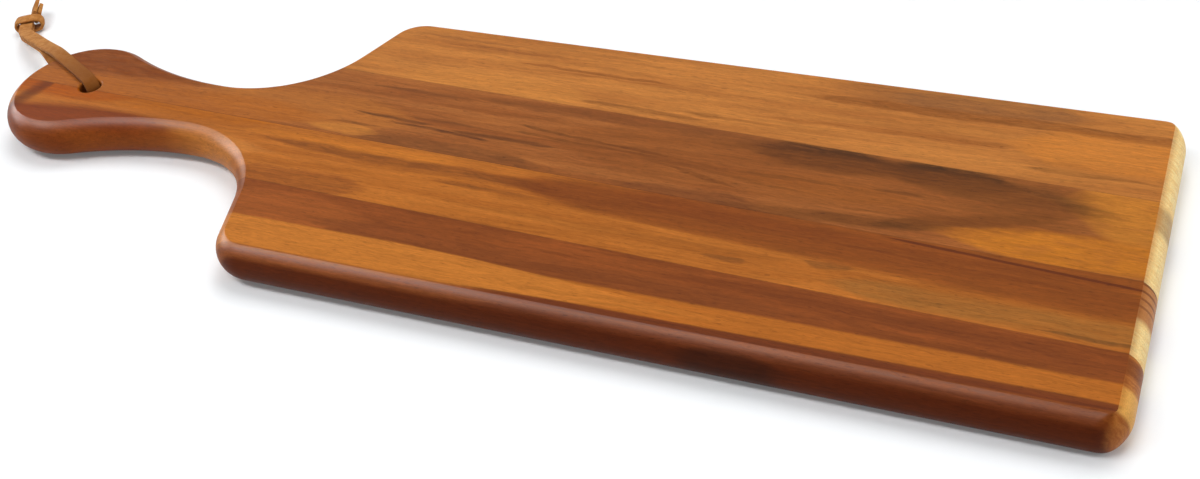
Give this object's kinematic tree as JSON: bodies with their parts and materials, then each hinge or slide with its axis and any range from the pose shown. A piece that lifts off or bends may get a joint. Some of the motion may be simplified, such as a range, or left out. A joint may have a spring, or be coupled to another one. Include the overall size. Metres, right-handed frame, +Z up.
{
  "type": "paddle charcuterie board",
  "caption": "Long wooden serving board with a rounded rim, a waisted paddle handle ending in a round bulb, and a leather hanging lace through a hole in the handle.",
  "frame": {"origin": "middle of the wooden board's length, width and thickness", "axes": "+Z up out of the serving face, X along the board with the handle at -X, +Y towards the long side to which the lace is laid"},
  "size_m": [0.5676, 0.178, 0.0224],
  "materials": {
    "golden_wood": "oiled satin",
    "brown_wood": "oiled satin",
    "amber_wood": "oiled satin",
    "dark_wood": "oiled satin",
    "leather": "natural tanned"
  },
  "bodies": {
    "board": {"stave_back": "golden_wood", "stave_centre_back": "brown_wood", "stave_centre_front": "amber_wood", "stave_front": "dark_wood"},
    "lace": {"lace_upper": "leather", "lace_lower": "leather", "lace_knot": "leather", "lace_tails": "leather"}
  },
  "joints": [
    {"name": "lace_swing", "type": "hinge", "parent": "board", "child": "lace", "pos_m": [-0.214, 0, 0], "axis": [0, 0, 1], "range_deg": [-59, 121]}
  ]
}
